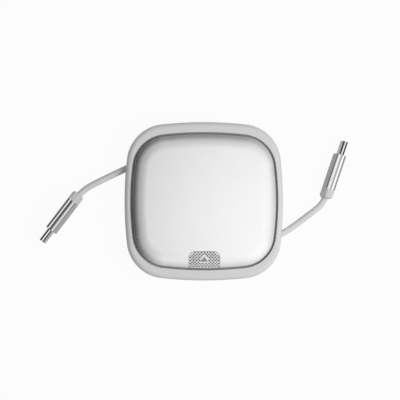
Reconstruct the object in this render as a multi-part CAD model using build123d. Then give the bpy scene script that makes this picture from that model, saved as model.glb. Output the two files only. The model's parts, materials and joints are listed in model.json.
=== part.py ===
from build123d import *
import os
from math import cos, degrees, radians, sin, sqrt, tan

# Retractable charging cable: a rounded-square puck with a sprung spool inside, a lead out of each side and
# a thumb pad that lifts the spool's brake. Sizes are in millimetres and angles in degrees. The puck lies on
# its back with its face up: +Z is up, +Y is the top of the face, and the origin is the middle of the base.

# Puck outline
body_size = 75.0
corner_radius = 18.5
side_bulge = 1.0  # how far the middle of each side stands out past the corner arcs

# Housing
wall = 2.0
floor_thickness = 2.0
base_chamfer = 1.5
rim_height = 1.4  # rim above the deck
rim_round = 2.2
rim_inner_chamfer = 0.35
deck_thickness = 1.0
seam_step = 0.15  # lower housing's wall inside the upper one's
tongue_width = 10.0
tongue_thickness = 1.0
tongue_height = 1.2  # tongue above the parting line
tongue_clearance = 0.2
opening_margin_x = 2.7  # rim's width at the left and right
opening_margin_y = 5.1  # rim's width at the top and bottom
opening_corner = 16.2

# Face plate and thumb pad
plate_gap = 0.8
plate_rise = 4.4  # top of the plate above the deck
plate_thickness = 1.0
plate_roll = 9.0  # radius of the rolled edge
roll_end = 45.0  # slope at which the rolled edge meets the plate's side
pad_width = 14.8
pad_length = 7.9
pad_corner = 3.0
pad_gap = 0.2
button_wall = 1.2
button_travel = 0.7
button_stop_gap = 0.3  # room left under the button when it is pressed
stem_inset = 4.0  # from the plate's lower edge to the stem
stem_radius = 1.3
leg_width = 2.8
leg_hook = 0.6
leg_slot_clearance = 0.2
leg_flex_room = 0.6
leg_end = 1.1  # length of a leg below the deck

# Cable, coil and leads
cable_diameter = 3.0
cable_play = 0.3  # room above and below the cable between the flanges
coil_gap = 0.15
lead_angle = 25.8  # slope of both leads where they leave the coil
exit_clearance = 0.4
exit_depth = 6.0  # from an exit back to where its bore is clear of the wall
bend_share = 0.45  # part of the shorter run that a bend takes up

# Spool, axle and clock spring
spool_clearance = 3.0  # from the flanges to the housing wall
flange_thickness = 1.0
flange_overhang = 4.1  # flanges beyond the wound coil
hub_radius = 17.0
hub_wall = 1.5
hub_drop = 1.0  # hub below the lower flange
hub_floor = 1.0
under_gap = 0.2
running_clearance = 0.05
axle_radius = 3.0
axle_tip_radius = 2.0
strip_thickness = 0.3
strip_turns = 3
strip_side_gap = 0.2
strip_end_gap = 0.3
strip_tail = 1.6  # strip inside the axle
strip_hook = 1.0  # strip inside the hub
strip_slot_gap = 0.1

# Brake
lever_room = 2.6  # from the upper flange to the deck
lever_drop = 0.9  # lever's pin below the deck
lever_thickness = 1.0
lever_width = 5.2
lever_gap = 0.4
lever_tail = 1.3
outer_arm = 6.5  # pin to stem
inner_arm = 7.0  # pin to brake pad
pin_radius = 0.75
pin_hub_wall = 0.5
ear_thickness = 1.8
ear_half_length = 1.6
ear_wall = 0.5
stem_gap = 0.1
brake_length = 3.0
brake_gap = 0.05
leaf_thickness = 0.3
leaf_width = 4.0
leaf_bend = 0.8
leaf_foot = 5.5
leaf_reach = 4.6
leaf_tip = 1.2
leaf_gap = 0.05
stake_size = 1.6
stake_height = 0.8

# Axle screw
screw_radius = 1.0
screw_hole_clearance = 0.2
screw_head_radius = 2.2
screw_head_height = 0.9
screw_head_recess = 0.2  # head's outer face below the base
screw_head_clearance = 0.2
screw_grip = 4.5  # length of thread in the axle

# Plugs
plug_width = 12.0
plug_thickness = 4.5
plug_corner = 1.5
collar_length = 4.5
collar_chamfer = 0.8
sleeve_length = 17.3
sleeve_chamfer = 0.3
shell_width = 8.25
shell_thickness = 2.4
shell_length = 6.65
shell_wall = 0.3
shell_tail = 2.0  # shell inside the sleeve
insert_recess = 0.3
tongue_slot_width = 6.7
tongue_slot_height = 0.8
tongue_slot_depth = 5.6
contact_rows = 5
contact_width = 0.5
contact_thickness = 0.12
contact_length = 4.5
plug_rest_gap = 0.05

# Each lead: where its plug's rear face is, which way the plug points, how far the plug is tipped from
# standing on its narrow edge, and the free cable's route. The last number of a point is the share of the way
# from the height of the exit down to the height of the plug.
leads = {
    "left": {
        "side": 0.0,
        "plug_rear": (-59.09, 3.44),
        "plug_heading": 232.55,
        "plug_tip": 9.5,
        "route": [
            (-29.8, 18.97, 0.0),
            (-56.4, 6.11, 0.9),
            (-59.6, 2.5, 1.0),
        ],
    },
    "right": {
        "side": 180.0,
        "plug_rear": (58.08, 1.64),
        "plug_heading": 71.3,
        "plug_tip": 7.0,
        "route": [
            (31.03, -18.38, 0.0),
            (38.94, -14.56, 0.1),
            (55.0, -2.4, 0.8),
            (58.21, 2.65, 1.0),
        ],
    },
}

# Heights, from the base up
half_size = body_size / 2
hub_bottom = floor_thickness + under_gap
hub_floor_top = hub_bottom + hub_floor
flange_bottom = hub_bottom + hub_drop
flange_top = flange_bottom + flange_thickness
cable_z = flange_top + cable_play + cable_diameter / 2
cap_bottom = cable_z + cable_diameter / 2 + cable_play
cap_top = cap_bottom + flange_thickness
deck_bottom = cap_top + lever_room
deck_top = deck_bottom + deck_thickness
rim_top = deck_top + rim_height
plate_top = deck_top + plate_rise
lever_z = deck_bottom - lever_drop
parting_z = cable_z

# Spool, coil and lead line
flange_radius = half_size - wall - spool_clearance
coil_radius = flange_radius - flange_overhang
tangent_radius = coil_radius + coil_gap + cable_diameter / 2
cup_radius = hub_radius - hub_wall
bore_radius = axle_radius + running_clearance
lead_direction = (-cos(radians(lead_angle)), -sin(radians(lead_angle)))
lead_tangent = (-tangent_radius * sin(radians(lead_angle)), tangent_radius * cos(radians(lead_angle)))
exit_reach = (half_size + lead_tangent[0]) / cos(radians(lead_angle))

# Plate, thumb pad and brake in plan
opening_half_x = half_size - opening_margin_x
opening_half_y = half_size - opening_margin_y
plate_half_x = opening_half_x - plate_gap
plate_half_y = opening_half_y - plate_gap
plate_corner = opening_corner - plate_gap
roll_reach = plate_roll * sin(radians(roll_end))
stem_y = stem_inset - plate_half_y
pin_y = stem_y + outer_arm
brake_y = pin_y + inner_arm
ear_start = lever_width / 2 + lever_gap
ear_end = ear_start + ear_thickness
leg_outer = pad_width / 2 - pad_gap
leg_bottom = deck_bottom - leg_end
stake_y = brake_y + leaf_reach + leaf_foot / 2
leaf_foot_start = brake_y + leaf_reach
screw_head_top = screw_head_recess + screw_head_height
screw_end = floor_thickness + screw_grip


def squircle(half_x, half_y, corner, bulge=side_bulge):
    """Face with four corner arcs joined by four bowed sides, all tangent."""
    centre_x = half_x - bulge - corner
    centre_y = half_y - bulge - corner
    side_radius_x = (centre_y**2 + 2 * corner * bulge + bulge**2) / (2 * bulge)
    side_radius_y = (centre_x**2 + 2 * corner * bulge + bulge**2) / (2 * bulge)
    low = Vector(centre_x - half_x + side_radius_x, centre_y).normalized()
    high = Vector(centre_x, centre_y - half_y + side_radius_y).normalized()
    centre = Vector(centre_x, centre_y)
    first = centre + low * corner
    middle = centre + (low + high).normalized() * corner
    last = centre + high * corner
    edges = []
    for sx, sy in ((1, 1), (-1, 1), (-1, -1), (1, -1)):
        corner_points = [(sx * point.X, sy * point.Y) for point in (first, middle, last)]
        edges.append(ThreePointArc(*corner_points))
    for sign in (1, -1):
        edges.append(ThreePointArc((sign * first.X, -first.Y), (sign * half_x, 0), (sign * first.X, first.Y)))
        edges.append(ThreePointArc((-last.X, sign * last.Y), (0, sign * half_y), (last.X, sign * last.Y)))
    return make_face(edges)


def body_outline(inset=0.0):
    return squircle(half_size - inset, half_size - inset, corner_radius - inset)


def prism(face, bottom, top):
    return Pos(0, 0, bottom) * extrude(face, top - bottom)


def disc(radius, bottom, top):
    return prism(Circle(radius), bottom, top)


def block(x_range, y_range, z_range):
    size = [high - low for low, high in (x_range, y_range, z_range)]
    middle = [(high + low) / 2 for low, high in (x_range, y_range, z_range)]
    return Pos(*middle) * Box(*size)


def cross_rod(radius, x_end, y, z):
    """Round rod along X, reaching x_end to both sides."""
    return Pos(0, y, z) * Rot(0, 90, 0) * Cylinder(radius, 2 * x_end)


def lead_place(distance):
    """Place on the left lead's line, that far from the coil, with Z along the lead."""
    x, y = (lead_tangent[i] + distance * lead_direction[i] for i in (0, 1))
    return Plane(origin=(x, y, cable_z), x_dir=(0, 0, 1), z_dir=(*lead_direction, 0))


def exit_cuts():
    """Round ways out for both leads, half in each shell."""
    bore = extrude(Circle(cable_diameter / 2 + exit_clearance), 2 * exit_depth)
    way = lead_place(exit_reach - exit_depth) * bore
    return way + Rot(0, 0, 180) * way


def tongue():
    """Locating tongue inside the middle of the right-hand wall, up past the parting line."""
    inside = half_size - wall
    span = (-tongue_width / 2, tongue_width / 2)
    root = block((inside - tongue_thickness, inside + wall / 2), span, (floor_thickness, parting_z))
    tip_x = (inside - tongue_thickness, inside - tongue_clearance)
    return root + block(tip_x, span, (parting_z, parting_z + tongue_height))


def lower_housing():
    tray = prism(body_outline(seam_step), 0, parting_z)
    tray = chamfer(tray.faces().sort_by(Axis.Z)[0].edges(), base_chamfer)
    tray -= prism(body_outline(wall), floor_thickness, parting_z)
    for quarter in range(4):
        tray += Rot(0, 0, 90 * quarter) * tongue()
    tray -= disc(screw_head_radius + screw_head_clearance, 0, screw_head_top)
    tray -= disc(screw_radius + screw_hole_clearance, screw_head_top, floor_thickness)
    return tray - exit_cuts()


def upper_housing():
    cover = prism(body_outline(), parting_z, rim_top)
    cover = fillet(top_edges(cover), rim_round)
    opening = squircle(opening_half_x, opening_half_y, opening_corner)
    cover -= prism(opening, deck_top, rim_top)
    rim_edge = cover.faces().filter_by(Axis.Z).sort_by(Axis.Z)[-1].inner_wires()[0].edges()
    cover = chamfer(rim_edge, rim_inner_chamfer)
    cover -= prism(body_outline(wall), parting_z, deck_bottom)
    cover += brake_mounts()
    cover -= deck_cuts()
    return cover - exit_cuts()


def brake_mounts():
    """Ears for the lever's pin and stake for the leaf spring."""
    ear_bottom = lever_z - pin_radius - ear_wall
    ear_length = (pin_y - ear_half_length, pin_y + ear_half_length)
    mounts = stake(deck_bottom)
    for side in (-1, 1):
        span = sorted((side * ear_start, side * ear_end))
        mounts += block(span, ear_length, (ear_bottom, deck_bottom))
    return mounts - cross_rod(pin_radius, ear_end, pin_y, lever_z)


def stake(bottom):
    side = (-stake_size / 2, stake_size / 2)
    place = (stake_y - stake_size / 2, stake_y + stake_size / 2)
    return block(side, place, (bottom, deck_top + leaf_thickness + stake_height))


def deck_cuts():
    """Window over the lever, hole for the axle's tip and slots for the button's legs."""
    window_x = (-ear_start, ear_start)
    window_y = (stem_y - lever_tail - lever_gap, leaf_foot_start)
    cuts = block(window_x, window_y, (deck_bottom, deck_top))
    cuts += disc(axle_tip_radius, deck_bottom, deck_top)
    slot_y = (stem_y - leg_width / 2 - leg_slot_clearance, stem_y + leg_width / 2 + leg_slot_clearance)
    slot_inner = leg_outer - button_wall - leg_flex_room
    for side in (-1, 1):
        span = sorted((side * slot_inner, side * (leg_outer + leg_slot_clearance)))
        cuts += block(span, slot_y, (deck_bottom, deck_top))
    return cuts


def plate_outline(inset):
    return squircle(plate_half_x - inset, plate_half_y - inset, plate_corner - inset)


def plate_block(inset):
    """Plate as a solid with a sharp edge, moved in by inset from its outer surface."""
    return prism(plate_outline(inset), deck_top, plate_top - inset)


def top_edges(form):
    return form.faces().sort_by(Axis.Z)[-1].edges()


def plate_outside():
    """Outer form: a flat top, an arc all round that stops short of upright, and a straight side."""
    wide = prism(plate_outline(roll_reach - plate_roll), plate_top - 2 * plate_roll, plate_top)
    return plate_block(0) & fillet(top_edges(wide), plate_roll)


def plate_inside(inset):
    """Hollow under the plate: its bevel joins the ends of an arc parallel to the rolled edge."""
    form = plate_block(inset)
    top = form.faces().sort_by(Axis.Z)[-1]
    radius = plate_roll - inset
    reach = roll_reach - inset
    drop = radius - sqrt(radius**2 - reach**2)
    return chamfer(top.edges(), reach, drop, reference=top)


def pad_outline(inset):
    """Thumb pad in plan, open past the plate's lower edge."""
    width = pad_width - 2 * inset
    top = pad_length - plate_half_y - inset
    bottom = -half_size
    pad = Pos(0, (top + bottom) / 2) * Rectangle(width, top - bottom)
    return fillet(pad.vertices().group_by(Axis.Y)[-1], pad_corner - inset)


def face_plate():
    plate = plate_outside() - plate_inside(plate_thickness)
    return plate - prism(pad_outline(0), deck_top, plate_top)


def button_stem(skirt):
    """Flat stem with a round end that bears on the lever, up into the button's roof."""
    tip = lever_z + lever_thickness / 2 + stem_gap + stem_radius
    side = (-stem_radius, stem_radius)
    depth = (stem_y - stem_radius, stem_y + stem_radius)
    upper = block(side, depth, (skirt, plate_top)) & plate_inside(button_wall / 2)
    return upper + block(side, depth, (tip, skirt)) + cross_rod(stem_radius, stem_radius, stem_y, tip)


def button_leg(side, skirt):
    """Snap leg at one side of the button, with a hook under the deck."""
    leg_y = (stem_y - leg_width / 2, stem_y + leg_width / 2)
    span = sorted((side * (leg_outer - button_wall), side * leg_outer))
    hook_top = deck_bottom - running_clearance
    hook = Plane.XZ * make_face(Polyline(
        (side * leg_outer, leg_bottom),
        (side * (leg_outer + leg_hook), hook_top),
        (side * leg_outer, hook_top),
        close=True,
    ))
    return block(span, leg_y, (leg_bottom, skirt)) + Pos(0, stem_y) * extrude(hook, leg_width / 2, both=True)


def release_button():
    skirt = deck_top + button_travel + button_stop_gap
    button = plate_outside() & prism(pad_outline(pad_gap), skirt, plate_top)
    button -= plate_inside(button_wall) & prism(pad_outline(pad_gap + button_wall), skirt, plate_top)
    return button + button_stem(skirt) + button_leg(-1, skirt) + button_leg(1, skirt)


def brake_lever():
    reach = (stem_y - lever_tail, brake_y + brake_length / 2)
    height = (lever_z - lever_thickness / 2, lever_z + lever_thickness / 2)
    lever = block((-lever_width / 2, lever_width / 2), reach, height)
    lever += cross_rod(pin_radius + pin_hub_wall, lever_width / 2, pin_y, lever_z)
    return lever - cross_rod(pin_radius + running_clearance, lever_width / 2, pin_y, lever_z)


def lever_pin():
    return cross_rod(pin_radius, ear_end, pin_y, lever_z)


def brake_pad():
    span = (-lever_width / 2, lever_width / 2)
    reach = (brake_y - brake_length / 2, brake_y + brake_length / 2)
    return block(span, reach, (cap_top + brake_gap, lever_z - lever_thickness / 2))


def brake_spring():
    """Leaf spring from the deck down to the lever's inner arm, with a lifted tip."""
    high = deck_top + leaf_thickness / 2
    low = lever_z + lever_thickness / 2 + leaf_gap + leaf_thickness / 2
    bends = FilletPolyline(
        (leaf_foot_start + leaf_foot, high),
        (leaf_foot_start - leaf_bend, high),
        (brake_y, low),
        (brake_y - leaf_tip, low + leaf_tip / 2),
        radius=leaf_bend,
    )
    strip = Plane.YZ * trace(bends, leaf_thickness)
    leaf = extrude(strip, leaf_width / 2, both=True)
    return leaf - stake(deck_top)


def axle_screw():
    head = disc(screw_head_radius, screw_head_recess, screw_head_top)
    return head + disc(screw_radius, screw_head_top, screw_end)


def spool_axle():
    axle = disc(axle_radius, floor_thickness, deck_bottom) + disc(axle_tip_radius, deck_bottom, deck_top)
    axle -= disc(screw_radius, floor_thickness, screw_end)
    slot_x = (axle_radius - strip_tail, axle_radius)
    slot_y = (-strip_thickness - strip_slot_gap, strip_slot_gap)
    return axle - block(slot_x, slot_y, (hub_floor_top, cap_bottom))


def spool_drum():
    drum = disc(flange_radius, flange_bottom, flange_top) + disc(hub_radius, hub_bottom, cap_bottom)
    drum -= disc(cup_radius, hub_floor_top, cap_bottom)
    drum -= disc(bore_radius, hub_bottom, hub_floor_top)
    slot_x = (0, cup_radius + strip_hook)
    slot_y = (-strip_slot_gap, strip_thickness + strip_slot_gap)
    return drum - block(slot_x, slot_y, (hub_floor_top, cap_bottom))


def spool_cap():
    return disc(flange_radius, cap_bottom, cap_top) - disc(bore_radius, cap_bottom, cap_top)


def cable_coil():
    """The wound turns as one ring."""
    ring = Circle(coil_radius) - Circle(hub_radius)
    return prism(ring, cable_z - cable_diameter / 2, cable_z + cable_diameter / 2)


def clock_spring():
    """Spiral strip of half-circles, hooked into the axle at its inner end and the hub at its outer end."""
    start = axle_radius + strip_end_gap
    end = cup_radius - strip_end_gap
    half_pitch = (end - start) / (2 * strip_turns)
    half = strip_thickness / 2
    edges = []
    for step in range(2 * strip_turns):
        sign = (-1) ** step
        here = sign * (start + half + step * half_pitch)
        there = -sign * (start + half + (step + 1) * half_pitch)
        centre = (here + there) / 2
        radius = abs(here - there) / 2
        for reach in (radius - half, radius + half):
            ends = [(centre + way * reach, 0) for way in (sign, -sign)]
            edges.append(ThreePointArc(ends[0], (centre, sign * reach), ends[1]))
    edges.append(Line((start, 0), (start + strip_thickness, 0)))
    edges.append(Line((end, 0), (end + strip_thickness, 0)))
    strip = make_face(edges)
    inner_end = axle_radius - strip_tail + strip_slot_gap
    outer_end = cup_radius + strip_hook - strip_slot_gap
    for low, high, side in ((inner_end, start + strip_thickness, -1), (end, outer_end, 1)):
        strip += Pos((low + high) / 2, side * half) * Rectangle(high - low, strip_thickness)
    return prism(strip, hub_floor_top + strip_side_gap, cap_bottom - strip_side_gap)


def plug_height(tip):
    """Height of a plug's axis when it lies on the surface, tipped from its narrow edge."""
    corner_along = plug_width / 2 - plug_corner
    corner_across = plug_thickness / 2 - plug_corner
    corner_height = corner_along * cos(radians(tip)) + corner_across * sin(radians(tip))
    return corner_height + plug_corner + plug_rest_gap


def plug_place(lead):
    """Plane at the rear of a plug: Z along the plug and X across its wide side."""
    heading = radians(lead["plug_heading"])
    tip = radians(lead["plug_tip"])
    x, y = lead["plug_rear"]
    across = (sin(heading) * sin(tip), -cos(heading) * sin(tip), cos(tip))
    origin = (x, y, plug_height(lead["plug_tip"]))
    return Plane(origin=origin, x_dir=across, z_dir=(cos(heading), sin(heading), 0))


def plug_section():
    return RectangleRounded(plug_width, plug_thickness, plug_corner)


def plug_collar():
    collar = extrude(plug_section(), collar_length)
    return chamfer(collar.faces().sort_by(Axis.Z)[0].edges(), collar_chamfer)


def plug_sleeve():
    front = collar_length + sleeve_length
    sleeve = prism(plug_section(), collar_length, front)
    sleeve = chamfer(sleeve.faces().sort_by(Axis.Z)[-1].edges(), sleeve_chamfer)
    return sleeve - prism(SlotOverall(shell_width, shell_thickness), front - shell_tail, front)


def plug_shell():
    start = collar_length + sleeve_length - shell_tail
    section = SlotOverall(shell_width, shell_thickness)
    section -= SlotOverall(shell_width - 2 * shell_wall, shell_thickness - 2 * shell_wall)
    return prism(section, start, start + shell_tail + shell_length)


def plug_insert():
    start = collar_length + sleeve_length - shell_tail
    front = start + shell_tail + shell_length - insert_recess
    core = SlotOverall(shell_width - 2 * shell_wall, shell_thickness - 2 * shell_wall)
    slot = Rectangle(tongue_slot_width, tongue_slot_height)
    return prism(core, start, front) - prism(slot, front - tongue_slot_depth, front)


def plug_contacts():
    """Contact strips along both sides of the slot in the insert."""
    front = collar_length + sleeve_length + shell_length - insert_recess
    start = front - tongue_slot_depth
    pitch = tongue_slot_width / contact_rows
    outer = tongue_slot_height / 2
    strips = []
    for row in range(contact_rows):
        x = (row - (contact_rows - 1) / 2) * pitch
        for side in (-1, 1):
            depth = sorted((side * outer, side * (outer - contact_thickness)))
            x_range = (x - contact_width / 2, x + contact_width / 2)
            strips.append(block(x_range, depth, (start, start + contact_length)))
    return Compound(strips)


def cable_feed(lead):
    """Straight stretch from the coil to the start of the free cable."""
    x, y, _ = lead["route"][0]
    start = Vector(*lead_tangent).rotate(Axis.Z, lead["side"])
    length = (Vector(x, y) - start).length
    stretch = lead_place(0) * extrude(Circle(cable_diameter / 2), length)
    return Rot(0, 0, lead["side"]) * stretch


def free_cable(name, lead):
    """Free stretch of a lead: straight runs joined by tangent arcs as large as the runs allow."""
    drop = plug_height(lead["plug_tip"]) - cable_z
    points = [Vector(x, y, cable_z + share * drop) for x, y, share in lead["route"]]
    runs = [after - before for before, after in zip(points, points[1:])]
    radii = []
    for before, after in zip(runs, runs[1:]):
        half_turn = radians(before.get_angle(after)) / 2
        radii.append(bend_share * min(before.length, after.length) / tan(half_turn))
    path = FilletPolyline(*points, radius=radii)
    section = Plane(origin=points[0], z_dir=runs[0]) * Circle(cable_diameter / 2)
    cable = sweep(section, path)
    filled = cable.volume / (section.area * path.length)
    print(f"{name} cable: length {path.length:.2f}, volume over section times length {filled:.4f}")
    print(f"{name} cable: bend radii {[round(radius, 1) for radius in radii]}")
    return cable


def build_nodes():
    nodes = {
        "lower_housing": lower_housing(),
        "upper_housing": upper_housing(),
        "face_plate": face_plate(),
        "axle_screw": axle_screw(),
        "spool_axle": spool_axle(),
        "spool_drum": spool_drum(),
        "spool_cap": spool_cap(),
        "cable_coil": cable_coil(),
        "clock_spring": clock_spring(),
        "release_button": release_button(),
        "brake_lever": brake_lever(),
        "lever_pin": lever_pin(),
        "brake_pad": brake_pad(),
        "brake_spring": brake_spring(),
    }
    for name, lead in leads.items():
        place = plug_place(lead)
        nodes[f"{name}_cable"] = free_cable(name, lead)
        nodes[f"{name}_cable_feed"] = cable_feed(lead)
        nodes[f"{name}_plug_collar"] = place * plug_collar()
        nodes[f"{name}_plug_sleeve"] = place * plug_sleeve()
        nodes[f"{name}_plug_shell"] = place * plug_shell()
        nodes[f"{name}_plug_insert"] = place * plug_insert()
        nodes[f"{name}_plug_contacts"] = place * plug_contacts()
    return nodes


os.makedirs("parts", exist_ok=True)
for node_name, node_shape in build_nodes().items():
    export_step(node_shape, f"parts/{node_name}.step")
print(f"leads turn the spool {degrees(1.0 / tangent_radius):.3f} degrees per millimetre")
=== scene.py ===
import json
from math import cos, hypot, pi, radians, sin, tan

import bmesh
import bpy
from mathutils import Matrix, Vector


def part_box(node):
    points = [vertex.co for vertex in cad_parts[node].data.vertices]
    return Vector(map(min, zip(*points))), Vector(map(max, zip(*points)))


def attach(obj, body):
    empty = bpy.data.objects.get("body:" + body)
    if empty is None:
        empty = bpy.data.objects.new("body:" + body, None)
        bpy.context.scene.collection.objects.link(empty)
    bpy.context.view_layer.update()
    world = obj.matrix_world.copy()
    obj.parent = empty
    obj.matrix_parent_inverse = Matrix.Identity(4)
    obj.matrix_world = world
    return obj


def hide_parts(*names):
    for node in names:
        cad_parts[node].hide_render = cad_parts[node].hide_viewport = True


# Looks of the retractable charging cable. Everything is in metres, in the frame of the loaded model: +Z is
# up out of the face, +Y is the top of the face and the origin is the middle of the base.

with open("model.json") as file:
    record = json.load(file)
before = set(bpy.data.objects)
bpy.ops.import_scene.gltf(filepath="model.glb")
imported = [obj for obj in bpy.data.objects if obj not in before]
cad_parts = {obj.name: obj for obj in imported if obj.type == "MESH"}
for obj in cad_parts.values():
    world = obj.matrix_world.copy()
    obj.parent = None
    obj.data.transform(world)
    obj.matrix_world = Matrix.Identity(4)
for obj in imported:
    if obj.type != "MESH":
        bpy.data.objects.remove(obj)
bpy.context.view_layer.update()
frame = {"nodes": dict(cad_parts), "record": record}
nodes = frame["nodes"]
scene = bpy.context.scene

# Camera: the photograph's frame at the object, seen from far above and a little from the lower left
view_width = 0.1896
view_centre = (-0.00180, 0.00062, 0.010)
camera_distance = 1.6
camera_lean_x = radians(-2.5)
camera_lean_y = radians(-1.0)
camera_reach = 10.0
sensor_width = 36.0  # in millimetres, as Blender has it

# Cords, and how each plug lies. A plug's tip is its turn from standing on its narrow edge, and its tones are
# those of the painted reflections along its sleeve and its shell: bright and dark strips in their colour.
cable_diameter = 0.003
cord_bevel_resolution = 6
cord_resolution = 24
cord_order = 3
leads = {
    "left": {
        "exit": (-0.0370, 0.0155, 0.006),
        "length": 0.0343,
        "plug_rear": (-0.05909, 0.00344, 0.00611),
        "plug_heading": radians(232.55),
        "plug_tip": radians(9.5),
        # painted reflections: the tones of the bright and dark strips along the sleeve and the shell
        "sleeve_painted_tones": {"satin": 0.285, "line": 0.52, "line_roughness": 0.20, "painted_dark": 0.10, "edge": 0.25},
        "shell_painted_tones": {"flat": 0.22, "painted_shade": 0.035},
        "route": [
            (-0.02980, 0.01897, 0.00600),
            (-0.04500, 0.01162, 0.00606),
            (-0.05430, 0.00707, 0.00609),
            (-0.05750, 0.00456, 0.00611),
            (-0.05960, 0.00250, 0.00611),
        ],
    },
    "right": {
        "exit": (0.0370, -0.0155, 0.006),
        "length": 0.0348,
        "plug_rear": (0.05808, 0.00164, 0.00611),
        "plug_heading": radians(71.3),
        "plug_tip": radians(7.0),
        # painted reflections; the pale, rough line is a painted highlight
        "sleeve_painted_tones": {"satin": 0.215, "line": 0.95, "line_roughness": 0.80, "painted_dark": 0.31, "edge": 0.31},
        "shell_painted_tones": {"flat": 0.21, "painted_shade": 0.03},
        "route": [
            (0.03103, -0.01838, 0.00600),
            (0.03860, -0.01508, 0.00601),
            (0.04995, -0.00655, 0.00606),
            (0.05545, -0.00230, 0.00609),
            (0.05748, 0.00055, 0.00610),
            (0.05821, 0.00265, 0.00611),
        ],
    },
}
sleeve_thickness = 0.0045
shell_thickness = 0.0024

# Painted reflections along the plugs: bright and dark strips in the colour of their sleeves and shells
satin_roughness = 0.38
polish_roughness = 0.20
sleeve_painted_highlight = 0.92
flat_roughness = 0.25
round_roughness = 0.15
shell_painted_highlight = 0.70
plain_roughness = 0.8  # a strip as rough as this isn't metal
metal_roughness = 0.4  # a strip as smooth as this is all metal
strip_grain = 5000.0
strip_detail = 3.0
strip_depth = 2e-7

# Other finishes
mottle_scale = 120.0
mottle_detail = 3.0
grain_detail = 4.0
warm = (1.0, 0.98, 0.93)
gold_low = (0.72, 0.46, 0.14, 1.0)
gold_high = (0.80, 0.54, 0.18, 1.0)

# Face plate, and the painted shade in the gap round it. The height of a normal is its share along +Z.
plate_crown = 4.9  # lean of the plate's normals for each metre from the middle
crown_end = 0.935  # height of the normals at which the crown is gone
upper_slope = 0.5  # least height of the normals on the plate's upper side
level_slope = 0.99  # least height of a level face's normal
gap_margin = 0.0001  # how far below the deck a face of the gap may lie

# Thumb pad: staggered raised dots, near black as painted shade, and a plain triangle that points up the face
dot_pitch = 0.00147
row_pitch = dot_pitch / 2
dot_radius = 0.00041
dot_height = 0.00012
dot_segments = 10
dot_rings = ((1.0, -0.2), (0.8, 0.55))  # shares of the dot's radius and height
dot_edge = 0.00046  # least distance from the pad's edge to the middle of a dot
dot_first_row = 0.00049  # from the pad's top edge to the middle of the first row
pad_half_width = 0.0072
pad_corner = 0.0028
pad_slope = 0.2  # least height of the normals on the pad's top
ray_start = 0.01  # height above the pad from which its surface is looked for
sign_apex_y = -0.0264
sign_base_y = -0.0285
sign_half_width = 0.00185
sign_height = sign_apex_y - sign_base_y
sign_slant = hypot(sign_half_width, sign_height) / sign_height  # a slanted side's length over the height
sign_lift = 0.00010
sign_depth = 0.00018  # how far the triangle's edge reaches down into the pad
sign_border = 0.00018
sign_border_lift = 0.00004
sign_border_spread = 1.6  # how far the border reaches past the triangle's corners, in its own widths
sign_clearance = 0.00050  # from the triangle to the middle of the nearest dot
sign_rows = 10

# Light and stage
floor_size = 6.0
floor_drop = 0.0002  # from the part's base, so that the two don't coincide
contact_reach = 0.0006  # shorter rays pass the floor, so that the base has light from below
floor_grey = 0.6
floor_roughness = 0.8
floor_glow = 0.95
ambient_left = 0.33
ambient_right = 0.51
key_place = Vector((0.25, -0.06, 0.43))
key_size = 0.28
key_power = 1.55
bright_side = Vector((0.49, -0.13, 0.862))  # where reflections are brightest
reflection_start = -0.47  # share of that direction at which reflections are black
reflection_power = 1.44
reflection_bright = 1.36
front_side = Vector((0.36, -0.93, 0.0))  # low on this side, reflections are brighter still
front_start = 0.36  # share of that direction at which this starts
front_bright = 0.33


def connect(tree, value, socket):
    """A socket's constant, or its link from the output of another node."""
    if isinstance(value, bpy.types.NodeSocket):
        tree.links.new(value, socket)
    else:
        socket.default_value = value


def set_inputs(tree, node, **inputs):
    """Constants or links of a node's inputs, by name with underscores for spaces."""
    for name, value in inputs.items():
        connect(tree, value, node.inputs[name.replace("_", " ")])


def add_node(tree, kind, settings=None, **inputs):
    """Shader node with its settings and inputs."""
    made = tree.nodes.new(kind)
    for name, value in (settings or {}).items():
        setattr(made, name, value)
    set_inputs(tree, made, **inputs)
    return made


def number(tree, operation, *values):
    """Number that a Math node works out."""
    made = add_node(tree, "ShaderNodeMath", {"operation": operation})
    for value, socket in zip(values, made.inputs):
        connect(tree, value, socket)
    return made.outputs["Value"]


def vector(tree, operation, *values, output="Vector"):
    """Vector that a Vector Math node works out, or its number where the output is Value."""
    made = add_node(tree, "ShaderNodeVectorMath", {"operation": operation})
    for value, socket in zip(values, made.inputs):
        connect(tree, value, socket)
    return made.outputs[output]


def remap(tree, value, **ends):
    """A number moved from one range to another; both are 0 to 1 where no end is given."""
    return add_node(tree, "ShaderNodeMapRange", Value=value, **ends).outputs["Result"]


def noise(tree, place, scale, detail):
    """Smooth random number, from 0 to 1, at a place."""
    return add_node(tree, "ShaderNodeTexNoise", Vector=place, Scale=scale, Detail=detail).outputs["Fac"]


def relief(tree, height, depth):
    """Normals of a surface with a bump of that depth."""
    return add_node(tree, "ShaderNodeBump", Height=height, Strength=1.0, Distance=depth).outputs["Normal"]


def mixed(tree, share, first, second):
    """Shader between a first one and a second one."""
    made = add_node(tree, "ShaderNodeMixShader", Fac=share)
    tree.links.new(first, made.inputs[1])
    tree.links.new(second, made.inputs[2])
    return made.outputs["Shader"]


def new_material(name):
    """Material with a node tree, and that tree."""
    made = bpy.data.materials.new(name)
    made.use_nodes = True
    return made, made.node_tree


def grey(value, tint=(1.0, 1.0, 1.0)):
    """Colour of a plain or tinted grey."""
    return tuple(value * part for part in tint) + (1.0,)


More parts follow.
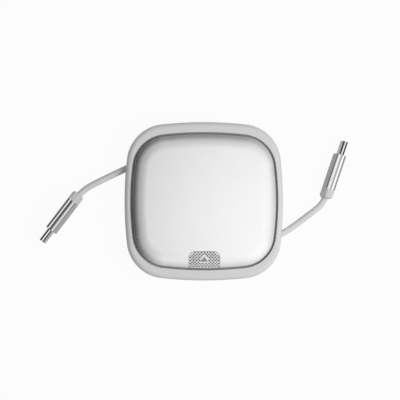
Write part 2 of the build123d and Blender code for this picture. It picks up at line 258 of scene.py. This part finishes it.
def surface(name, low, high, roughness, grain, depth, metallic=0.0):
    """Material whose tone drifts between two colours, with a fine grain in its roughness and relief."""
    made, tree = new_material(name)
    place = add_node(tree, "ShaderNodeTexCoord").outputs["Object"]
    drift = noise(tree, place, mottle_scale, mottle_detail)
    fine = noise(tree, place, grain, grain_detail)
    tone = add_node(tree, "ShaderNodeMix", {"data_type": "RGBA"}, Factor=drift, A=low, B=high)
    set_inputs(
        tree,
        tree.nodes["Principled BSDF"],
        Base_Color=tone.outputs["Result"],
        Metallic=metallic,
        Roughness=remap(tree, fine, To_Min=roughness[0], To_Max=roughness[1]),
        Normal=relief(tree, fine, depth),
    )
    return made


def add_crown(made, slope, end):
    """Very slightly domed look for a flat plate: its normals lean outwards by a slope for each metre.

    The lean fades out where the plate rolls over, and is gone where its normals have the end's height.
    """
    tree = made.node_tree
    place = add_node(tree, "ShaderNodeTexCoord").outputs["Object"]
    normal = add_node(tree, "ShaderNodeNewGeometry").outputs["Normal"]
    height = add_node(tree, "ShaderNodeSeparateXYZ", Vector=normal).outputs["Z"]
    level = vector(tree, "MULTIPLY", place, (1.0, 1.0, 0.0))
    lean = vector(tree, "MULTIPLY", level, remap(tree, height, From_Min=end, To_Max=slope))
    crowned = vector(tree, "NORMALIZE", vector(tree, "ADD", lean, normal))
    set_inputs(tree, tree.nodes["Bump"], Normal=crowned)


def metal_with_painted_reflections(name, side, half_thickness, stops):
    """Metal of a plug with painted reflections: bright and dark strips painted in its colour along it.

    A stop has its distance from the plug's middle plane, its tone and its roughness.
    """
    lead = leads[side]
    heading = lead["plug_heading"]
    tip = lead["plug_tip"]
    side_axis = Vector((-sin(heading) * cos(tip), cos(heading) * cos(tip), sin(tip)))
    middle = side_axis.dot(Vector(lead["plug_rear"]))
    made, tree = new_material(f"{side}_{name}")
    place = add_node(tree, "ShaderNodeTexCoord").outputs["Object"]
    across = vector(tree, "DOT_PRODUCT", place, side_axis, output="Value")
    share = remap(tree, across, From_Min=middle - half_thickness, From_Max=middle + half_thickness)
    ramp = add_node(tree, "ShaderNodeValToRGB", Fac=share)
    colours = ramp.color_ramp.elements
    while len(colours) < len(stops):
        colours.new(0.5)
    for colour, (distance, tone, roughness) in zip(colours, stops):
        colour.position = 0.5 + 0.5 * distance / half_thickness
        colour.color = (*tone[:3], roughness)
    rough = ramp.outputs["Alpha"]
    set_inputs(
        tree,
        tree.nodes["Principled BSDF"],
        Base_Color=ramp.outputs["Color"],
        Metallic=remap(tree, rough, From_Min=plain_roughness, From_Max=metal_roughness),
        Roughness=rough,
        Normal=relief(tree, noise(tree, place, strip_grain, strip_detail), strip_depth),
    )
    return made


def sleeve_painted_reflection_stops(satin, line, line_roughness, painted_dark, edge):
    """Satin sides, and a polished edge between them with painted reflections: bright and dark strips, one
    line.
    """
    side = (grey(satin), satin_roughness)
    border = (grey(edge), polish_roughness)
    bright = (grey(sleeve_painted_highlight), polish_roughness)
    dark = (grey(painted_dark), polish_roughness)
    fading = (grey(2 * painted_dark), polish_roughness)
    lined = (grey(line), line_roughness)
    return [
        (-0.00225, *side),
        (-0.00210, *border),
        (-0.00115, *border),
        (-0.00090, *bright),
        (-0.00045, *bright),
        (-0.00025, *dark),
        (0.00030, *dark),
        (0.00080, *fading),
        (0.00105, *lined),
        (0.00165, *lined),
        (0.00195, *side),
    ]


def shell_painted_reflection_stops(flat, painted_shade):
    """Flat sides of drawn steel, and a round edge between them in painted shade with one painted highlight
    strip.
    """
    side = (grey(flat, warm), flat_roughness)
    dark = (grey(painted_shade, warm), round_roughness)
    bright = (grey(shell_painted_highlight), round_roughness)
    return [
        (-0.00118, *side),
        (-0.00105, *dark),
        (-0.00030, *dark),
        (-0.00010, *bright),
        (0.00035, *bright),
        (0.00060, *dark),
        (0.00088, *dark),
        (0.00108, *side),
    ]


def plug_painted_reflections():
    """Finishes of the plugs' sleeves and shells, with painted reflections, by node."""
    made = {}
    for side, lead in leads.items():
        sleeve = sleeve_painted_reflection_stops(**lead["sleeve_painted_tones"])
        shell = shell_painted_reflection_stops(**lead["shell_painted_tones"])
        made[f"{side}_plug_sleeve"] = metal_with_painted_reflections("sleeve_metal_painted_reflections", side, sleeve_thickness / 2, sleeve)
        made[f"{side}_plug_shell"] = metal_with_painted_reflections("shell_steel_painted_reflections", side, shell_thickness / 2, shell)
    return made


plastics = {
    "housing_plastic": dict(low=grey(0.63), high=grey(0.66), roughness=(0.45, 0.60), grain=5000, depth=4e-6),
    # painted shade for the gap round the face plate, where shade falls
    "gap_painted_shade": dict(low=grey(0.28), high=grey(0.33), roughness=(0.60, 0.75), grain=5000, depth=4e-6),
    "button_plastic": dict(low=grey(0.74), high=grey(0.78), roughness=(0.40, 0.50), grain=6000, depth=2e-6),
    # painted shade: the dots are near black to give the shade of the pad's raised texture
    "dot_painted_shade": dict(low=grey(0.02), high=grey(0.03), roughness=(0.50, 0.65), grain=6000, depth=2e-6),
    "sign_plastic": dict(low=grey(0.24), high=grey(0.28), roughness=(0.45, 0.60), grain=6000, depth=2e-6),
    "sign_border_plastic": dict(
        low=grey(0.78), high=grey(0.84), roughness=(0.45, 0.60), grain=6000, depth=2e-6
    ),
    "cable_jacket": dict(low=grey(0.60), high=grey(0.64), roughness=(0.45, 0.60), grain=6000, depth=3e-6),
    "collar_plastic": dict(low=grey(0.56), high=grey(0.60), roughness=(0.45, 0.60), grain=6000, depth=3e-6),
    "insert_plastic": dict(low=grey(0.01), high=grey(0.016), roughness=(0.40, 0.55), grain=5000, depth=2e-6),
    "spool_plastic": dict(
        low=grey(0.74, warm), high=grey(0.80, warm), roughness=(0.40, 0.55), grain=4000, depth=4e-6
    ),
    "brake_rubber": dict(low=grey(0.012), high=grey(0.020), roughness=(0.60, 0.80), grain=3000, depth=8e-6),
}
metals = {
    "plate_metal": dict(low=grey(0.71), high=grey(0.74), roughness=(0.23, 0.28), grain=9000, depth=5e-7),
    "steel": dict(
        low=grey(0.42, warm), high=grey(0.46, warm), roughness=(0.06, 0.12), grain=4000, depth=1e-7
    ),
    "spring_steel": dict(low=grey(0.30), high=grey(0.36), roughness=(0.20, 0.35), grain=3000, depth=5e-7),
    "contact_metal": dict(low=gold_low, high=gold_high, roughness=(0.15, 0.25), grain=3000, depth=3e-7),
}
materials = {name: surface(name, **finish) for name, finish in plastics.items()}
materials.update({name: surface(name, **finish, metallic=1.0) for name, finish in metals.items()})
add_crown(materials["plate_metal"], plate_crown, crown_end)


def dress_nodes():
    """Finish of each CAD node: painted reflections on the plugs' sleeves and shells, and that of its slot
    elsewhere.
    """
    painted_reflection_finishes = plug_painted_reflections()
    for entry in frame["record"]["subparts"]:
        node = entry["node"]
        mesh = nodes[node].data
        mesh.materials.clear()
        mesh.materials.append(painted_reflection_finishes.get(node) or materials[entry["material_slot"]])


def even_normals():
    """Smooth normals on the plate's upper side.

    They are weighed by the areas of the faces, so that the slivers beside the notch don't show.
    """
    mesh = nodes["face_plate"].data
    upper = [face for face in mesh.polygons if face.normal.z > upper_slope]
    sums = {}
    for face in upper:
        for vertex in face.vertices:
            sums[vertex] = sums.get(vertex, Vector()) + face.normal * face.area
    normals = [corner.vector.copy() for corner in mesh.corner_normals]
    for face in upper:
        for corner, vertex in zip(face.loop_indices, face.vertices):
            normals[corner] = sums[vertex].normalized()
    mesh.normals_split_custom_set(normals)


def paint_gap_shade():
    """Painted shade in the gap round the face plate: a darker grey on the deck, and on the walls that face
    inwards.
    """
    mesh = nodes["upper_housing"].data
    gap_index = len(mesh.materials)
    mesh.materials.append(materials["gap_painted_shade"])
    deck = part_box("face_plate")[0].z
    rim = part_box("upper_housing")[1].z
    for face in mesh.polygons:
        level = face.normal.z > level_slope
        low = face.center.z < (deck + rim) / 2
        inward = face.normal.x * face.center.x + face.normal.y * face.center.y < 0
        if face.center.z > deck - gap_margin and (low if level else inward):
            face.material_index = gap_index


def add_piece(name, data, body):
    """Piece that the scene adds to a body, held by that body's empty."""
    made = bpy.data.objects.new(name, data)
    scene.collection.objects.link(made)
    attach(made, body)
    return made


def lead_cable(side):
    """Free stretch of a lead as a smooth round cord."""
    lead = leads[side]
    curve = bpy.data.curves.new(f"{side}_lead_cable", "CURVE")
    curve.dimensions = "3D"
    curve.bevel_depth = cable_diameter / 2
    curve.bevel_resolution = cord_bevel_resolution
    curve.resolution_u = cord_resolution
    curve.use_fill_caps = True
    spline = curve.splines.new("NURBS")
    spline.points.add(len(lead["route"]) - 1)
    for point, place in zip(spline.points, lead["route"]):
        point.co = (*place, 1.0)
    spline.order_u = cord_order
    spline.use_endpoint_u = True
    curve.materials.append(materials["cable_jacket"])
    cord = add_piece(f"{side}_lead_cable", curve, f"{side}_lead")
    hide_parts(f"{side}_cable")


def on_pad(x, y):
    """Place and outward direction of the thumb pad's top at x, y, or nothing beside the pad."""
    start = Vector((x, y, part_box("release_button")[1].z + ray_start))
    hit, place, normal, _ = nodes["release_button"].ray_cast(start, Vector((0.0, 0.0, -1.0)))
    return (place, normal) if hit and normal.z > pad_slope else None


def in_sign(x, y, margin):
    """Whether x, y is within a margin of the triangle."""
    share = (sign_apex_y - y) / sign_height
    return y > sign_base_y - margin and abs(x) < sign_half_width * share + sign_slant * margin


def in_pad(x, y, margin):
    """Whether x, y is inside the thumb pad by a margin; its outline has two round corners at the top."""
    low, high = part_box("release_button")
    beyond = Vector((max(0.0, abs(x) - pad_half_width + pad_corner), max(0.0, y - high.y + pad_corner)))
    return beyond.length <= pad_corner - margin and y > low.y + margin


def add_dome(form, place, normal):
    """Low round dome on a surface."""
    turn = normal.to_track_quat("Z", "Y")
    rings = []
    for radius_share, height_share in dot_rings:
        radius = radius_share * dot_radius
        ring = []
        for step in range(dot_segments):
            angle = 2 * pi * step / dot_segments
            offset = Vector((radius * cos(angle), radius * sin(angle), height_share * dot_height))
            ring.append(form.verts.new(place + turn @ offset))
        rings.append(ring)
    top = form.verts.new(place + normal * dot_height)
    for step in range(dot_segments):
        after = (step + 1) % dot_segments
        form.faces.new((rings[0][step], rings[0][after], rings[1][after], rings[1][step]))
        form.faces.new((rings[1][step], rings[1][after], top))
    form.faces.new(rings[0][::-1])


def mesh_of(form, name, *finishes):
    """Smooth mesh of a form, which is freed, with materials for its faces."""
    for face in form.faces:
        face.smooth = True
    mesh = bpy.data.meshes.new(name)
    form.to_mesh(mesh)
    form.free()
    for finish in finishes:
        mesh.materials.append(materials[finish])
    return mesh


def grip_dots():
    """Staggered rows of raised dots over the thumb pad, clear of the triangle, near black as painted shade.
    """
    low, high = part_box("release_button")
    form = bmesh.new()
    rows = int((high.y - low.y) / row_pitch) + 1
    columns = int(pad_half_width / dot_pitch) + 1
    for row in range(rows):
        y = high.y - dot_first_row - row * row_pitch
        for column in range(-columns, columns + 1):
            x = (column + 0.5 * (row % 2)) * dot_pitch
            if not in_pad(x, y, dot_edge) or in_sign(x, y, sign_clearance):
                continue
            found = on_pad(x, y)
            if found:
                add_dome(form, *found)
    add_piece("grip_dots", mesh_of(form, "grip_dots", "dot_painted_shade"), "thumb_button")


def triangle_sheet(form, margin, lift, finish):
    """Triangle laid on the thumb pad, with an edge down into it."""
    apex = sign_apex_y + sign_border_spread * margin
    base = sign_base_y - margin
    half = sign_half_width + sign_border_spread * margin
    rows = []
    for row in range(sign_rows + 1):
        share = row / sign_rows
        line = []
        for column in range(row + 1):
            x = half * share * (2 * column / row - 1) if row else 0.0
            place, normal = on_pad(x, apex + (base - apex) * share)
            top = form.verts.new(place + normal * lift)
            foot = form.verts.new(place - normal * sign_depth)
            line.append((top, foot))
        rows.append(line)
    faces = []
    for row in range(sign_rows):
        for column in range(row + 1):
            here = rows[row][column][0]
            left = rows[row + 1][column][0]
            right = rows[row + 1][column + 1][0]
            faces.append(form.faces.new((here, left, right)))
            if column < row:
                faces.append(form.faces.new((here, right, rows[row][column + 1][0])))
    down = [line[0] for line in rows]
    up = [line[-1] for line in reversed(rows)][:-1]
    outline = down + rows[-1][1:-1] + up
    for here, after in zip(outline, outline[1:] + outline[:1]):
        faces.append(form.faces.new((here[0], here[1], after[1], after[0])))
    for face in faces:
        face.material_index = finish


def direction_sign():
    """Plain triangle on the thumb pad, dark with a pale border."""
    form = bmesh.new()
    triangle_sheet(form, sign_border, sign_border_lift, 1)
    triangle_sheet(form, 0.0, sign_lift, 0)
    mesh = mesh_of(form, "direction_sign", "sign_plastic", "sign_border_plastic")
    add_piece("direction_sign", mesh, "thumb_button")


def background_share(tree):
    """1 for rays that see the background itself: from the camera, off a glossy surface or through glass."""
    path = add_node(tree, "ShaderNodeLightPath").outputs
    camera_or_gloss = number(tree, "MAXIMUM", path["Is Camera Ray"], path["Is Glossy Ray"])
    return number(tree, "MAXIMUM", camera_or_gloss, path["Is Transmission Ray"])


def white_floor():
    """Pale floor that shows as white with a faint shadow, and is open from below, where the base shows."""
    bpy.ops.mesh.primitive_plane_add(size=floor_size, location=(0.0, 0.0, -floor_drop))
    floor = bpy.context.object
    floor.name = "floor"
    made, tree = new_material("floor")
    shader = tree.nodes["Principled BSDF"]
    set_inputs(tree, shader, Base_Color=grey(floor_grey), Roughness=floor_roughness)
    glow = add_node(tree, "ShaderNodeEmission", Color=grey(1.0), Strength=1.0)
    glow_share = number(tree, "MULTIPLY", background_share(tree), floor_glow)
    closed = mixed(tree, glow_share, shader.outputs["BSDF"], glow.outputs["Emission"])
    below = add_node(tree, "ShaderNodeNewGeometry").outputs["Backfacing"]
    length = add_node(tree, "ShaderNodeLightPath").outputs["Ray Length"]
    open_share = number(tree, "MAXIMUM", below, number(tree, "LESS_THAN", length, contact_reach))
    clear = add_node(tree, "ShaderNodeBsdfTransparent")
    shown = mixed(tree, open_share, closed, clear.outputs["BSDF"])
    set_inputs(tree, tree.nodes["Material Output"], Surface=shown)
    floor.data.materials.append(made)


def reflection_strength(tree, place):
    """Strength of the world in reflections: from a bright to a dark side, and brighter low at the front."""
    facing = vector(tree, "DOT_PRODUCT", place, bright_side.normalized(), output="Value")
    share = remap(tree, facing, From_Min=reflection_start)
    level = number(tree, "MULTIPLY", number(tree, "POWER", share, reflection_power), reflection_bright)
    front = vector(tree, "DOT_PRODUCT", place, front_side.normalized(), output="Value")
    return number(tree, "ADD", level, remap(tree, front, From_Min=front_start, To_Max=front_bright))


def white_world():
    """White to the camera, a grey that rises from left to right as light, and graded in reflections."""
    world = bpy.data.worlds.new("studio")
    scene.world = world
    world.use_nodes = True
    tree = world.node_tree
    place = add_node(tree, "ShaderNodeTexCoord").outputs["Generated"]
    aside = add_node(tree, "ShaderNodeSeparateXYZ", Vector=place).outputs["X"]
    soft = remap(tree, aside, From_Min=-1.0, To_Min=ambient_left, To_Max=ambient_right)
    ambient = tree.nodes["Background"]
    set_inputs(tree, ambient, Color=grey(1.0), Strength=soft)
    white = add_node(tree, "ShaderNodeBackground", Color=grey(1.0), Strength=1.0)
    strength = reflection_strength(tree, place)
    graded = add_node(tree, "ShaderNodeBackground", Color=grey(1.0), Strength=strength)
    glossy = add_node(tree, "ShaderNodeLightPath").outputs["Is Glossy Ray"]
    seen = mixed(tree, glossy, white.outputs["Background"], graded.outputs["Background"])
    shown = mixed(tree, background_share(tree), ambient.outputs["Background"], seen)
    set_inputs(tree, tree.nodes["World Output"], Surface=shown)


def key_light():
    """Soft light from high on the right, aimed at the origin and kept out of reflections."""
    lamp = bpy.data.lights.new("key", "AREA")
    lamp.shape = "SQUARE"
    lamp.size = key_size
    lamp.energy = key_power
    holder = bpy.data.objects.new("key", lamp)
    holder.location = key_place
    holder.rotation_euler = (-key_place).to_track_quat("-Z", "Y").to_euler()
    holder.visible_glossy = False
    scene.collection.objects.link(holder)


def photo_camera():
    """Long lens, straight down on the face but for a small lean."""
    data = bpy.data.cameras.new("photo_camera")
    data.sensor_width = sensor_width
    data.lens = sensor_width * camera_distance / view_width
    data.clip_end = camera_reach
    camera = bpy.data.objects.new("photo_camera", data)
    target = Vector(view_centre)
    aside = Vector((tan(camera_lean_x), tan(camera_lean_y), 1.0)).normalized()
    right = Vector((0.0, 1.0, 0.0)).cross(aside).normalized()
    up = aside.cross(right)
    camera.location = target + aside * camera_distance
    camera.rotation_euler = Matrix((right, up, aside)).transposed().to_euler()
    scene.collection.objects.link(camera)
    scene.camera = camera


dress_nodes()
even_normals()
paint_gap_shade()
for lead_side in leads:
    lead_cable(lead_side)
grip_dots()
direction_sign()
white_floor()
white_world()
key_light()
photo_camera()
scene.view_settings.view_transform = "Standard"
